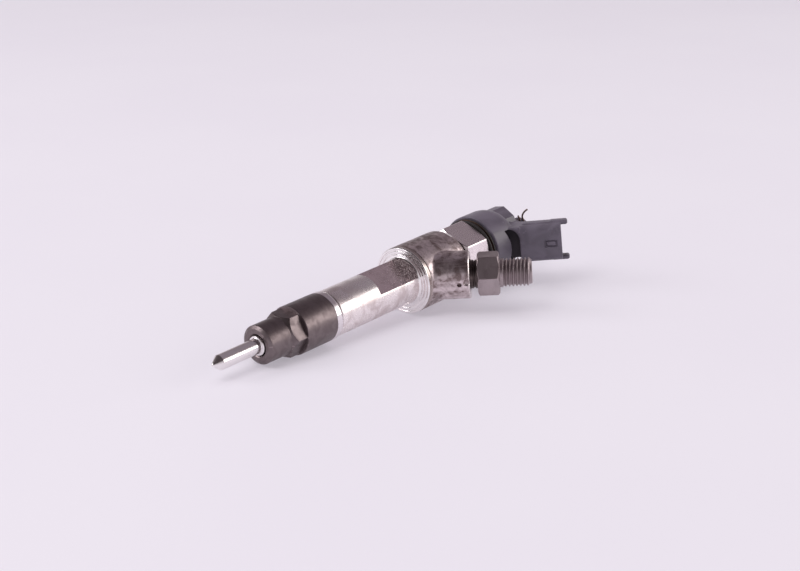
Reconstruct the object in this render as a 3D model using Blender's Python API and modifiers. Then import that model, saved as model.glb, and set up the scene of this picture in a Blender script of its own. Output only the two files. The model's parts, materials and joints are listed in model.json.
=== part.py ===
"""Common-rail diesel fuel injector, modelled as the separate pieces it comes apart into.

Lengths in this file are millimetres and angles are degrees; MM turns a length into Blender's metres.
Every piece is drawn in one of three axis frames, each an empty whose local Z is the axis:
  injector axis   from the nozzle tip (station 0) to the return port
  inlet axis      leaves the injector axis sideways, for the high-pressure inlet
  connector axis  leaves it further back, for the electrical connector
The injector lies on its side on the ground plane, on the retaining nut and the body's collar.
"""

import math

import bmesh
import bpy
from mathutils import Matrix, Vector

MM = 0.001
GAP = 0.3
NEEDLE_LIFT = 0.25

# Stations along the injector axis, from the nozzle tip.
TIP_CONE_END = 4.3
NUT_FRONT = 26.8
NUT_HEX_FRONT = 39.7
NUT_HEX_REAR = 47.4
NUT_BAND_FRONT = 66.8
NUT_REAR = 70.4
NOZZLE_REAR = 50.0
PLATE_FRONT = NOZZLE_REAR + GAP
PLATE_REAR = 53.3
BODY_FRONT = PLATE_REAR + GAP
SEAT_REAR = 56.3
SPRING_CHAMBER_REAR = 88.1
FLATS_FRONT = 97.0
COLLAR_FRONT = 124.4
FLATS_REAR = COLLAR_FRONT - 0.5
VALVE_CHAMBER_FRONT = 134.5
PISTON_REAR = 139.4
VALVE_SEAT_STEP = 141.3
VALVE_BODY_REAR = 149.6
BODY_SHOULDER = 156.0
BODY_REAR = 164.0
SOLENOID_NUT_FRONT = 157.4
SOLENOID_NUT_STEP = 168.0
SOLENOID_NUT_REAR = 174.0
CORE_FRONT = BODY_REAR + 3 * GAP
CORE_REAR = 176.0
HEAD_FRONT = 178.0
SLEEVE_REAR = 181.0
HEAD_EDGE = 192.0
CHAMBER_REAR = 195.5
HEAD_REAR = 206.0
PORT_REAR = 219.5

# Radii about the injector axis.
NOZZLE_SHAFT_R = 3.5
NOZZLE_BODY_R = 7.15
NOZZLE_STEP_R = 4.65
GALLERY_R = 3.4
NEEDLE_R = 2.0
NEEDLE_BORE_R = NEEDLE_R + GAP
NEEDLE_STEM_R = 1.6
NUT_NOSE_R = 9.0
NUT_R = 11.5
NUT_HEX_CORNER_R = 11.0
NUT_BORE_R = NOZZLE_BODY_R + 0.35
NUT_THREAD_R = 8.95
NUT_MOUTH_R = 5.0
NUT_SEAL_FACE_R = (5.6, 7.4)
BODY_NOSE_R = 8.6
SHAFT_R = 11.1
COLLAR_R = 16.5
COLLAR_EDGE = 0.5
RIM_CHAMFER = 1.3
PISTON_R = 2.2
SPRING_CHAMBER_R = 4.2
SPRING_SEAT_R = 3.8
PISTON_STEM_R = 1.8
VALVE_CHAMBER_R = 7.0
VALVE_BORE_R = 8.6
VALVE_BODY_R = 8.2
VALVE_NOSE_R = 4.6
VALVE_DRAIN_R = 0.5
BODY_THREAD_R = 13.3
CORE_R = 11.2
CORE_BORE_R = 3.2
COIL_SLOT_R = (5.2, 9.0)
SLEEVE_R = 12.2
HEAD_R = 17.2
CHAMBER_R = 9.0
HUMP_R = 7.1
HUMP_OFFSET = 8.4
HUMP_RIDGE = ((9.0, 7.1), (11.7, 5.9), (15.5, -0.4), (14.5, -5.6), (13.2, -6.6), (9.0, -7.1))
CLIP_GROOVE_R = 4.6
CLIP_WIRE_R = 0.45
PORT_R = 5.9
BALL_R = 0.75

# Hexagons and flats, across the flats, and the angle of a corner or a normal from the inlet side.
NUT_HEX_AF = 19.0
NUT_HEX_CORNER = 57.0
SOLENOID_HEX_AF = 28.8
SOLENOID_HEX_CORNER = 36.0
FLATS_AF = 15.0
FLATS_DRAFT = 0.1
FLATS_FOOT = 0.4
FLATS_ANGLE = 67.0
INLET_HEX_AF = 19.0
INLET_HEX_CORNER = 63.0

# Inlet and connector axes.
BRANCH_ANGLE = 54.0
BRANCH_ROLL = 2.6
CONNECTOR_ROLL = 4.4
INLET_STATION = 131.0
CONNECTOR_STATION = 188.0

# Distances along the inlet axis, and radii about it.
BOSS_END = 28.4
BOSS_R = 11.5
BOSS_BORE_START = 19.0
BOSS_BORE_R = 7.2
INLET_THREAD_R = 6.85
INLET_HEX_START = 32.0
INLET_HEX_END = 42.3
INLET_END = 57.8

# Connector, along and across its axis: the height is across the branch plane.
SHROUD_START = 19.0
SHROUD_END = 39.1
PRONG_END = 42.6
SHROUD_HEIGHT = 18.7
RAIL_HEIGHT = 20.6
SHROUD_DEPTH = 14.0
SHROUD_WALL = 1.7
TERMINAL_PITCH = 6.4
TERMINAL_SIZE = (0.8, 2.8)

# The high-pressure feed and the dowels share one circle of holes.
FEED_RADIUS = 5.8
FEED_R = 0.8
DOWEL_RADIUS = 5.7
DOWEL_R = 0.6
FEED_ANGLE = FLATS_ANGLE - 90.0
DOWEL_ANGLES = (FEED_ANGLE + 120.0, FEED_ANGLE + 240.0)

FINE, MEDIUM, COARSE = 32, 20, 12

FINISHES = {
    "ground_steel": ((0.62, 0.60, 0.60), 0.25, 1.0),
    "phosphated_steel": ((0.16, 0.13, 0.13), 0.45, 1.0),
    "nickel": ((0.45, 0.41, 0.41), 0.30, 1.0),
    "spring_steel": ((0.30, 0.29, 0.30), 0.35, 1.0),
    "hardened_steel": ((0.50, 0.49, 0.50), 0.20, 1.0),
    "soft_iron": ((0.33, 0.32, 0.32), 0.50, 1.0),
    "copper": ((0.72, 0.35, 0.20), 0.35, 1.0),
    "tin": ((0.66, 0.65, 0.62), 0.30, 1.0),
    "black_plastic": ((0.055, 0.050, 0.060), 0.45, 0.0),
    "natural_plastic": ((0.60, 0.55, 0.45), 0.50, 0.0),
    "black_rubber": ((0.020, 0.020, 0.020), 0.70, 0.0),
    "bronzed_wire": ((0.22, 0.14, 0.10), 0.40, 1.0),
}


def clear_scene():
    for obj in list(bpy.data.objects):
        bpy.data.objects.remove(obj, do_unlink=True)


def collection(name):
    made = bpy.data.collections.new(name)
    bpy.context.scene.collection.children.link(made)
    return made


def finish(obj, kind):
    """Gives the object its own Principled material of one of the finishes."""
    colour, roughness, metallic = FINISHES[kind]
    material = bpy.data.materials.new(f"{obj.name}_{kind}")
    material.use_nodes = True
    shader = material.node_tree.nodes["Principled BSDF"]
    shader.inputs["Base Color"].default_value = (*colour, 1.0)
    shader.inputs["Roughness"].default_value = roughness
    shader.inputs["Metallic"].default_value = metallic
    obj.data.materials.clear()
    obj.data.materials.append(material)


def place(obj, frame, kind=None):
    """Puts the object in its axis frame: a part if it has a finish, else a hidden cutter."""
    obj.parent = frame
    if kind:
        PARTS.objects.link(obj)
        finish(obj, kind)
    else:
        CUTTERS.objects.link(obj)
        obj.hide_render = True
        obj.display_type = "WIRE"
    return obj


def shade(mesh):
    mesh.shade_smooth()
    mesh.set_sharp_from_angle(angle=math.radians(35.0))


def turned(name, outline, frame, kind=None, segments=MEDIUM):
    """Solid of revolution: (radius, station) points run down the outside and back up the inside."""
    mesh = bpy.data.meshes.new(name)
    points = [(radius * MM, 0.0, station * MM) for radius, station in outline]
    edges = [(i, i + 1) for i in range(len(points) - 1)]
    if outline[0][0] > 0.0 or outline[-1][0] > 0.0:
        edges.append((len(points) - 1, 0))
    mesh.from_pydata(points, edges, [])
    obj = place(bpy.data.objects.new(name, mesh), frame, kind)
    screw = obj.modifiers.new("turn", "SCREW")
    screw.axis = "Z"
    screw.steps = segments
    screw.render_steps = segments
    screw.use_merge_vertices = True
    screw.merge_threshold = 1e-6
    screw.use_smooth_shade = True
    return obj


def ring(name, inner, outer, front, rear, frame, kind, segments=MEDIUM):
    outline = [(outer, rear), (outer, front), (inner, front), (inner, rear)]
    return turned(name, outline, frame, kind, segments)


def cylinder(name, start, end, radius, frame, kind=None, segments=COARSE):
    """Straight round bar between two points of the frame."""
    start, end = Vector(start) * MM, Vector(end) * MM
    turn = (end - start).to_track_quat("Z", "Y").to_matrix().to_4x4()
    build = bmesh.new()
    bmesh.ops.create_cone(
        build,
        cap_ends=True,
        segments=segments,
        radius1=radius * MM,
        radius2=radius * MM,
        depth=(end - start).length,
        matrix=Matrix.Translation((start + end) / 2) @ turn,
    )
    mesh = bpy.data.meshes.new(name)
    build.to_mesh(mesh)
    build.free()
    shade(mesh)
    return place(bpy.data.objects.new(name, mesh), frame, kind)


def block(name, low, high, frame, kind=None, bevel=0.0):
    """Box between two corners of the frame, with rounded edges where it has a bevel."""
    low, high = Vector(low) * MM, Vector(high) * MM
    size = Matrix.Diagonal((*(high - low), 1.0))
    build = bmesh.new()
    bmesh.ops.create_cube(build, size=1.0, matrix=Matrix.Translation((low + high) / 2) @ size)
    mesh = bpy.data.meshes.new(name)
    build.to_mesh(mesh)
    build.free()
    obj = place(bpy.data.objects.new(name, mesh), frame, kind)
    if bevel:
        edge = obj.modifiers.new("edge", "BEVEL")
        edge.width = bevel * MM
        edge.segments = 2
    return obj


def plate(name, outlines, low, high, frame):
    """Cutter of even thickness, from closed outlines: a second one inside the first is a hole."""
    curve = bpy.data.curves.new(name, "CURVE")
    curve.dimensions = "2D"
    curve.fill_mode = "BOTH"
    curve.extrude = (high - low) / 2 * MM
    for outline in outlines:
        spline = curve.splines.new("POLY")
        spline.points.add(len(outline) - 1)
        spline.use_cyclic_u = True
        for point, (x, y) in zip(spline.points, outline):
            point.co = (x * MM, y * MM, 0.0, 1.0)
    drawn = bpy.data.objects.new(name, curve)
    bpy.context.scene.collection.objects.link(drawn)
    mesh = welded_mesh(drawn, name)
    mesh.transform(Matrix.Translation((0.0, 0.0, (low + high) / 2 * MM)))
    return place(bpy.data.objects.new(name, mesh), frame)


def welded_mesh(drawn, name):
    """The curve object's mesh with its caps welded on; the curve is removed."""
    bpy.context.view_layer.update()
    evaluated = drawn.evaluated_get(bpy.context.evaluated_depsgraph_get())
    mesh = bpy.data.meshes.new_from_object(evaluated)
    mesh.name = name
    build = bmesh.new()
    build.from_mesh(mesh)
    bmesh.ops.remove_doubles(build, verts=build.verts, dist=1e-6)
    bmesh.ops.recalc_face_normals(build, faces=build.faces)
    build.to_mesh(mesh)
    build.free()
    bpy.data.objects.remove(drawn, do_unlink=True)
    return mesh


def wire(name, points, radius, frame, kind):
    """Round wire along points of the frame, with flat ends."""
    curve = bpy.data.curves.new(name, "CURVE")
    curve.dimensions = "3D"
    curve.bevel_depth = radius * MM
    curve.bevel_resolution = 2
    curve.use_fill_caps = True
    spline = curve.splines.new("POLY")
    spline.points.add(len(points) - 1)
    for point, place_at in zip(spline.points, points):
        point.co = (*(Vector(place_at) * MM), 1.0)
    return place(bpy.data.objects.new(name, curve), frame, kind)


def boolean(obj, tool, operation="DIFFERENCE"):
    modifier = obj.modifiers.new(f"{operation.lower()}_{tool.name}", "BOOLEAN")
    modifier.operation = operation
    modifier.solver = "EXACT"
    modifier.object = tool


def around(radius, angle, station):
    """Point at an angle from the inlet side, turning up from it."""
    turn = math.radians(angle)
    return (radius * math.sin(turn), radius * math.cos(turn), station)


def hexagon(across_flats, corner_angle):
    radius = across_flats / math.sqrt(3.0)
    return [around(radius, corner_angle + 60.0 * i, 0.0)[:2] for i in range(6)]


def circle(radius, segments=COARSE):
    return [around(radius, 360.0 * i / segments, 0.0)[:2] for i in range(segments)]


def hump_outline(segments=12):
    """Outline of the head's hump: a blunt ridge above the axis and a round end below it."""
    outline = list(HUMP_RIDGE)
    for i in range(segments + 1):
        x, y, _ = around(HUMP_R, 180.0 + 180.0 * i / segments, 0.0)
        outline.append((x - HUMP_OFFSET, y))
    return outline


def cut_hexagon(obj, across_flats, corner_angle, low, high, frame):
    """Mills a turned piece to a hexagon between two stations."""
    outlines = [circle(across_flats), hexagon(across_flats, corner_angle)]
    boolean(obj, plate(f"{obj.name}_hexagon_cutter", outlines, low, high, frame))


def coil(mean_radius, wire_radius, low, high, turns, points_per_turn=9):
    """Points of a compression spring that stands between two stations."""
    count = round(turns * points_per_turn)
    first, last = low + wire_radius, high - wire_radius
    points = []
    for i in range(count + 1):
        turn = 2.0 * math.pi * i / points_per_turn
        station = first + (last - first) * i / count
        points.append((mean_radius * math.cos(turn), mean_radius * math.sin(turn), station))
    return points


def torus(name, mean_radius, wire_radius, station, frame, kind):
    """O-ring: a round section turned about the axis."""
    outline = []
    for i in range(6):
        turn = 2.0 * math.pi * i / 6
        outline.append((mean_radius + wire_radius * math.sin(turn), station + wire_radius * math.cos(turn)))
    return turned(name, outline, frame, kind)


def axis_frame(name, parent, station=0.0, angle=0.0, roll=0.0):
    """Empty whose Z leaves the parent's Z at the angle, in a plane rolled up from the inlet side."""
    empty = bpy.data.objects.new(name, None)
    PARTS.objects.link(empty)
    empty.parent = parent
    turn = Matrix.Rotation(math.radians(-roll), 4, "Z") @ Matrix.Rotation(math.radians(-angle), 4, "X")
    empty.matrix_local = Matrix.Translation((0.0, 0.0, station * MM)) @ turn
    return empty


def make_nozzle(axis):
    """Nozzle body, needle, distance plate and the two dowels that line them up."""
    body = turned(
        "nozzle_body",
        [
            (0.0, 1.7),
            (0.55, 2.0),
            (0.55, 3.2),
            (NEEDLE_BORE_R, 6.2),
            (NEEDLE_BORE_R, 33.5),
            (GALLERY_R, 34.6),
            (GALLERY_R, 37.0),
            (NEEDLE_BORE_R, 38.1),
            (NEEDLE_BORE_R, NOZZLE_REAR),
            (NOZZLE_BODY_R, NOZZLE_REAR),
            (NOZZLE_BODY_R, 32.95),
            (NOZZLE_STEP_R, 31.95),
            (NOZZLE_STEP_R, 26.9),
            (NOZZLE_SHAFT_R, 26.1),
            (NOZZLE_SHAFT_R, TIP_CONE_END),
            (0.7, 0.5),
            (0.0, 0.0),
        ],
        axis,
        "ground_steel",
    )
    turned(
        "nozzle_needle",
        [
            (0.0, 54.0),
            (1.2, 54.0),
            (1.2, NOZZLE_REAR - NEEDLE_LIFT),
            (NEEDLE_R, NOZZLE_REAR - NEEDLE_LIFT),
            (NEEDLE_R, 37.0),
            (NEEDLE_STEM_R, 36.0),
            (NEEDLE_STEM_R, 5.7),
            (0.25, 3.4),
            (0.0, 3.3),
        ],
        axis,
        "hardened_steel",
        COARSE,
    )
    plate_ring = ring(
        "distance_plate", NEEDLE_STEM_R, NOZZLE_BODY_R, PLATE_FRONT, PLATE_REAR, axis, "hardened_steel"
    )
    feed = cylinder(
        "nozzle_feed_cutter",
        around(FEED_RADIUS, FEED_ANGLE, NOZZLE_REAR + 0.5),
        around(2.9, FEED_ANGLE, 35.8),
        FEED_R,
        axis,
        segments=10,
    )
    boolean(body, feed)
    return body, plate_ring


def make_dowels(axis, nozzle, plate_ring, injector):
    for number, angle in enumerate(DOWEL_ANGLES, 1):
        low, high = NOZZLE_REAR - 1.5, BODY_FRONT + 1.5
        hole = cylinder(
            f"dowel_hole_{number}_cutter",
            around(DOWEL_RADIUS, angle, low - GAP),
            around(DOWEL_RADIUS, angle, high + GAP),
            DOWEL_R + GAP,
            axis,
            segments=12,
        )
        for piece in (nozzle, plate_ring, injector):
            boolean(piece, hole)
        cylinder(
            f"dowel_pin_{number}",
            around(DOWEL_RADIUS, angle, low),
            around(DOWEL_RADIUS, angle, high),
            DOWEL_R,
            axis,
            "hardened_steel",
            12,
        )


def make_retaining_nut(axis):
    nut = turned(
        "nozzle_retaining_nut",
        [
            (11.2, NUT_REAR),
            (NUT_R, NUT_BAND_FRONT),
            (NUT_R, NUT_HEX_REAR),
            (NUT_HEX_CORNER_R, NUT_HEX_REAR - 0.6),
            (NUT_HEX_CORNER_R, NUT_HEX_FRONT + 2.3),
            (NUT_NOSE_R, NUT_HEX_FRONT),
            (NUT_NOSE_R, NUT_FRONT + 1.0),
            (NUT_SEAL_FACE_R[1], NUT_FRONT),
            (NUT_SEAL_FACE_R[0], NUT_FRONT),
            (NUT_MOUTH_R, NUT_FRONT + 0.5),
            (NUT_MOUTH_R, 31.6),
            (NUT_BORE_R, 32.6),
            (NUT_BORE_R, 52.0),
            (NUT_THREAD_R, 53.0),
            (NUT_THREAD_R, NUT_REAR),
        ],
        axis,
        "phosphated_steel",
        FINE,
    )
    cut_hexagon(nut, NUT_HEX_AF, NUT_HEX_CORNER, NUT_HEX_FRONT + 0.01, NUT_HEX_REAR - 0.1, axis)


def make_needle_spring(axis):
    """Pieces between the needle and the control piston, in the body's spring chamber."""
    turned(
        "spring_seat",
        [
            (0.0, SEAT_REAR + 1.0),
            (PISTON_STEM_R, SEAT_REAR + 1.0),
            (PISTON_STEM_R, SEAT_REAR),
            (SPRING_SEAT_R, SEAT_REAR),
            (SPRING_SEAT_R, 54.3),
            (0.0, 54.3),
        ],
        axis,
        "hardened_steel",
        COARSE,
    )
    shim_rear = SPRING_CHAMBER_REAR - GAP
    shim_front = shim_rear - 1.5
    points = coil(3.1, 0.5, SEAT_REAR + GAP, shim_front - GAP, 9.0)
    wire("nozzle_spring", points, 0.5, axis, "spring_steel")
    ring("spring_shim", PISTON_R + 0.2, SPRING_SEAT_R, shim_front, shim_rear, axis, "hardened_steel", COARSE)
    turned(
        "control_piston",
        [
            (0.0, PISTON_REAR),
            (PISTON_R, PISTON_REAR),
            (PISTON_R, 92.0),
            (PISTON_STEM_R, 91.0),
            (PISTON_STEM_R, SEAT_REAR + 1.0 + GAP),
            (0.0, SEAT_REAR + 1.0 + GAP),
        ],
        axis,
        "hardened_steel",
        COARSE,
    )


def make_injector_body(axis, inlet):
    """Forged body: shaft, collar and inlet boss in one piece, then bored, milled and drilled."""
    body = turned(
        "injector_body",
        [
            (0.0, BODY_REAR),
            (BODY_THREAD_R, BODY_REAR),
            (BODY_THREAD_R, BODY_SHOULDER + 0.2),
            (COLLAR_R - RIM_CHAMFER, BODY_SHOULDER),
            (COLLAR_R - 0.5, BODY_SHOULDER - 0.5),
            (COLLAR_R, BODY_SHOULDER - 2.4),
            (COLLAR_R, COLLAR_FRONT + COLLAR_EDGE),
            (COLLAR_R - COLLAR_EDGE, COLLAR_FRONT),
            (SHAFT_R + 0.5, COLLAR_FRONT),
            (SHAFT_R, FLATS_REAR),
            (SHAFT_R, NUT_REAR + 0.6),
            (SHAFT_R - 0.4, NUT_REAR + 0.4),
            (BODY_NOSE_R, NUT_REAR + 0.4),
            (BODY_NOSE_R, BODY_FRONT),
            (0.0, BODY_FRONT),
        ],
        axis,
        "nickel",
        FINE,
    )
    boss = [(0.0, BOSS_END), (BOSS_R - 0.5, BOSS_END), (BOSS_R, BOSS_END - 0.6), (BOSS_R, 4.0), (0.0, 4.0)]
    boolean(body, turned("boss_tool", boss, inlet, segments=32), "UNION")
    over = 1.0
    bore = [
        (0.0, BODY_REAR + over),
        (9.6, BODY_REAR + over),
        (9.6, 157.8),
        (VALVE_BORE_R, 157.8),
        (VALVE_BORE_R, VALVE_SEAT_STEP),
        (VALVE_CHAMBER_R, VALVE_SEAT_STEP),
        (VALVE_CHAMBER_R, VALVE_CHAMBER_FRONT),
        (PISTON_R + GAP, VALVE_CHAMBER_FRONT),
        (PISTON_R + GAP, SPRING_CHAMBER_REAR),
        (SPRING_CHAMBER_R, SPRING_CHAMBER_REAR),
        (SPRING_CHAMBER_R, BODY_FRONT - over),
        (0.0, BODY_FRONT - over),
    ]
    boolean(body, turned("bore_cutter", bore, axis))
    o_ring_groove = [(12.5, BODY_REAR + over), (12.5, 162.2), (10.4, 162.2), (10.4, BODY_REAR + over)]
    boolean(body, turned("o_ring_groove_cutter", o_ring_groove, axis))
    floor = FLATS_AF / 2
    flat_outline = [
        (floor, FLATS_FRONT + FLATS_FOOT),
        (floor + FLATS_FOOT, FLATS_FRONT),
        (SHAFT_R + over, FLATS_FRONT),
        (SHAFT_R + over, FLATS_REAR + FLATS_DRAFT),
        (floor, FLATS_REAR),
    ]
    for number, turn in enumerate((180.0, 0.0), 1):
        flat = plate(f"flat_{number}_cutter", [flat_outline], -SHAFT_R, SHAFT_R, axis)
        flat.rotation_euler = (math.radians(90.0), 0.0, math.radians(90.0 - FLATS_ANGLE + turn))
        boolean(body, flat)
    inlet_bore = cylinder(
        "inlet_bore_cutter",
        (0.0, 0.0, BOSS_BORE_START),
        (0.0, 0.0, BOSS_END + over),
        BOSS_BORE_R,
        inlet,
        segments=MEDIUM,
    )
    boolean(body, inlet_bore)
    feed_floor = inlet.matrix_local @ Vector((0.0, 0.0, (BOSS_BORE_START + 0.5) * MM)) / MM
    into_chamber = cylinder("inlet_feed_cutter", feed_floor, (0.0, 5.5, 139.8), 1.2, axis, segments=12)
    boolean(body, into_chamber)
    long_feed = cylinder(
        "long_feed_cutter",
        around(FEED_RADIUS, FEED_ANGLE, BODY_FRONT - over),
        around(FEED_RADIUS, FEED_ANGLE, VALVE_CHAMBER_FRONT + 0.5),
        FEED_R,
        axis,
        segments=10,
    )
    boolean(body, long_feed)
    return body


def drill_plate_feed(axis, plate_ring):
    hole = cylinder(
        "plate_feed_cutter",
        around(FEED_RADIUS, FEED_ANGLE, PLATE_FRONT - 1.0),
        around(FEED_RADIUS, FEED_ANGLE, PLATE_REAR + 1.0),
        FEED_R,
        axis,
        segments=10,
    )
    boolean(plate_ring, hole)


def make_control_valve(axis):
    """Valve body with its seals, the ball on its seat and the nut that clamps the stack."""
    turned(
        "valve_body",
        [
            (VALVE_BODY_R, VALVE_BODY_REAR),
            (VALVE_BODY_R, VALVE_SEAT_STEP + GAP),
            (VALVE_NOSE_R, VALVE_SEAT_STEP + GAP),
            (VALVE_NOSE_R, VALVE_CHAMBER_FRONT + GAP),
            (PISTON_R + GAP, VALVE_CHAMBER_FRONT + GAP),
            (PISTON_R + GAP, 140.0),
            (VALVE_DRAIN_R, 141.0),
            (VALVE_DRAIN_R, VALVE_BODY_REAR - 0.9),
            (1.0, VALVE_BODY_REAR),
        ],
        axis,
        "hardened_steel",
    )
    inner, outer = VALVE_NOSE_R + GAP, VALVE_CHAMBER_R - GAP
    ring("valve_seal_ring", inner, outer, 134.8, 136.6, axis, "copper")
    ring("valve_backup_ring", inner, outer, 136.9, 138.1, axis, "natural_plastic")
    ball_centre = VALVE_BODY_REAR + BALL_R
    build = bmesh.new()
    bmesh.ops.create_uvsphere(
        build,
        u_segments=COARSE,
        v_segments=8,
        radius=BALL_R * MM,
        matrix=Matrix.Translation((0.0, 0.0, ball_centre * MM)),
    )
    mesh = bpy.data.meshes.new("valve_ball")
    build.to_mesh(mesh)
    build.free()
    mesh.shade_smooth()
    place(bpy.data.objects.new("valve_ball", mesh), axis, "hardened_steel")
    turned(
        "ball_guide",
        [(0.0, 152.4), (1.9, 152.4), (1.9, 150.6), (1.1, 150.6), (1.1, 151.4), (0.0, 151.4)],
        axis,
        "hardened_steel",
        COARSE,
    )
    ring("valve_clamp_nut", 4.7, VALVE_BORE_R - GAP, 152.2, 157.2, axis, "phosphated_steel")


def make_armature(axis):
    """Guide, pin, plate and the light spring that holds the plate against the pin's head."""
    turned(
        "armature_guide",
        [
            (4.3, 159.5),
            (4.3, 151.9),
            (7.9, 151.9),
            (7.9, VALVE_BODY_REAR + GAP),
            (2.3, VALVE_BODY_REAR + GAP),
            (2.3, 153.0),
            (1.8, 153.0),
            (1.8, 159.5),
        ],
        axis,
        "hardened_steel",
    )
    turned(
        "armature_pin",
        [(0.0, 165.5), (2.6, 165.5), (2.6, 164.7), (1.5, 164.7), (1.5, 152.7), (0.0, 152.7)],
        axis,
        "hardened_steel",
        COARSE,
    )
    ring("armature_plate", 1.8, 9.0, 163.0, 164.4, axis, "soft_iron")
    wire("armature_spring", coil(2.7, 0.3, 159.8, 162.7, 3.0), 0.3, axis, "spring_steel")


def make_solenoid(axis):
    """Magnet core, bobbin and winding in their sleeve, with the valve spring through the core."""
    torus("solenoid_o_ring", 11.45, 0.65, 163.2, axis, "black_rubber")
    ring("lift_shim", 10.0, 13.0, BODY_REAR + GAP, BODY_REAR + 2 * GAP, axis, "hardened_steel")
    turned(
        "magnet_core",
        [
            (CORE_R, CORE_REAR),
            (CORE_R, CORE_FRONT),
            (COIL_SLOT_R[1], CORE_FRONT),
            (COIL_SLOT_R[1], 173.0),
            (COIL_SLOT_R[0], 173.0),
            (COIL_SLOT_R[0], CORE_FRONT),
            (CORE_BORE_R, CORE_FRONT),
            (CORE_BORE_R, CORE_REAR),
        ],
        axis,
        "soft_iron",
    )
    drum_r, bobbin_r = 6.2, COIL_SLOT_R[1] - GAP
    turned(
        "coil_bobbin",
        [
            (bobbin_r, 172.7),
            (bobbin_r, 172.0),
            (drum_r, 172.0),
            (drum_r, 165.9),
            (bobbin_r, 165.9),
            (bobbin_r, 165.2),
            (COIL_SLOT_R[0] + GAP, 165.2),
            (COIL_SLOT_R[0] + GAP, 172.7),
        ],
        axis,
        "natural_plastic",
    )
    ring("coil_winding", drum_r + GAP, bobbin_r - 0.1, 166.2, 171.7, axis, "copper")
    wire("valve_spring", coil(2.2, 0.4, 165.9, 173.7, 5.0), 0.4, axis, "spring_steel")
    shim_r = CORE_BORE_R - GAP
    turned(
        "valve_spring_shim",
        [(0.0, 175.0), (shim_r, 175.0), (shim_r, 174.0), (0.0, 174.0)],
        axis,
        "hardened_steel",
        COARSE,
    )
    turned(
        "solenoid_back_plate",
        [(0.0, 178.3), (CORE_R, 178.3), (CORE_R, CORE_REAR + GAP), (0.0, CORE_REAR + GAP)],
        axis,
        "soft_iron",
    )
    turned(
        "solenoid_sleeve",
        [
            (SLEEVE_R, SLEEVE_REAR),
            (SLEEVE_R, SOLENOID_NUT_STEP - GAP),
            (BODY_THREAD_R - 0.1, SOLENOID_NUT_STEP - GAP),
            (BODY_THREAD_R - 0.1, CORE_FRONT),
            (CORE_R + GAP, CORE_FRONT),
            (CORE_R + GAP, SLEEVE_REAR),
        ],
        axis,
        "ground_steel",
    )
    nut = turned(
        "solenoid_retaining_nut",
        [
            (COLLAR_R - 1.5, SOLENOID_NUT_REAR),
            (COLLAR_R, SOLENOID_NUT_REAR - 1.0),
            (COLLAR_R, SOLENOID_NUT_FRONT + 1.0),
            (COLLAR_R - 1.5, SOLENOID_NUT_FRONT),
            (BODY_THREAD_R + GAP, SOLENOID_NUT_FRONT),
            (BODY_THREAD_R + GAP, SOLENOID_NUT_STEP),
            (SLEEVE_R + GAP, SOLENOID_NUT_STEP),
            (SLEEVE_R + GAP, SOLENOID_NUT_REAR),
        ],
        axis,
        "nickel",
        FINE,
    )
    low, high = SOLENOID_NUT_FRONT - 1.0, SOLENOID_NUT_REAR + 1.0
    cut_hexagon(nut, SOLENOID_HEX_AF, SOLENOID_HEX_CORNER, low, high, axis)
    low, high = SOLENOID_NUT_REAR + GAP, HEAD_FRONT - GAP
    ring("solenoid_dust_ring", SLEEVE_R + GAP, HEAD_R - 1.0, low, high, axis, "black_rubber", FINE)


def make_connector(axis, connector):
    """Moulded head with the connector shroud, and the two terminals in it."""
    head = turned(
        "connector_housing",
        [
            (0.0, HEAD_EDGE + 5.0),
            (HEAD_R - 4.7, HEAD_EDGE + 5.0),
            (HEAD_R - 1.6, HEAD_EDGE + 3.5),
            (HEAD_R, HEAD_EDGE),
            (HEAD_R, HEAD_FRONT),
            (0.0, HEAD_FRONT),
        ],
        axis,
        "black_plastic",
        FINE,
    )
    hump = plate("hump_tool", [hump_outline()], HEAD_EDGE - 4.0, HEAD_REAR, axis)
    boolean(head, hump, "UNION")
    half_height, half_depth = SHROUD_HEIGHT / 2, SHROUD_DEPTH / 2
    neck = block("neck_tool", (-7.5, -5.5, 4.0), (9.0, 2.6, SHROUD_START + 0.5), connector)
    shroud = block(
        "shroud_tool",
        (-half_height, -half_depth, SHROUD_START),
        (half_height, half_depth, SHROUD_END),
        connector,
        bevel=1.6,
    )
    boolean(head, neck, "UNION")
    boolean(head, shroud, "UNION")
    for number, side in enumerate((-1.0, 1.0), 1):
        low = (side * (half_height - SHROUD_WALL), -2.5, SHROUD_START + 1.0)
        high = (side * RAIL_HEIGHT / 2, 2.5, PRONG_END)
        rail = block(f"rail_{number}_tool", map(min, low, high), map(max, low, high), connector)
        boolean(head, rail, "UNION")
    cavity = block(
        "cavity_cutter",
        (SHROUD_WALL - half_height, SHROUD_WALL - half_depth, SHROUD_START + 2.4),
        (half_height - SHROUD_WALL, half_depth - SHROUD_WALL, PRONG_END + 1.0),
        connector,
    )
    boolean(head, cavity)
    bore = [
        (0.0, HEAD_REAR + 1.0),
        (PORT_R + GAP, HEAD_REAR + 1.0),
        (PORT_R + GAP, CHAMBER_REAR),
        (CHAMBER_R, CHAMBER_REAR),
        (CHAMBER_R, SLEEVE_REAR + GAP),
        (SLEEVE_R + GAP, SLEEVE_REAR + GAP),
        (SLEEVE_R + GAP, HEAD_FRONT - 1.0),
        (0.0, HEAD_FRONT - 1.0),
    ]
    boolean(head, turned("head_bore_cutter", bore, axis))
    width, depth = TERMINAL_SIZE
    for number, side in enumerate((-1.0, 1.0), 1):
        centre = side * TERMINAL_PITCH / 2
        slot = block(
            f"terminal_slot_{number}_cutter",
            (centre - width / 2 - GAP, -depth / 2 - GAP, 8.5),
            (centre + width / 2 + GAP, depth / 2 + GAP, SHROUD_START + 3.0),
            connector,
        )
        boolean(head, slot)
        block(
            f"terminal_{number}",
            (centre - width / 2, -depth / 2, 11.2),
            (centre + width / 2, depth / 2, 33.0),
            connector,
            "tin",
            bevel=0.2,
        )


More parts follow.
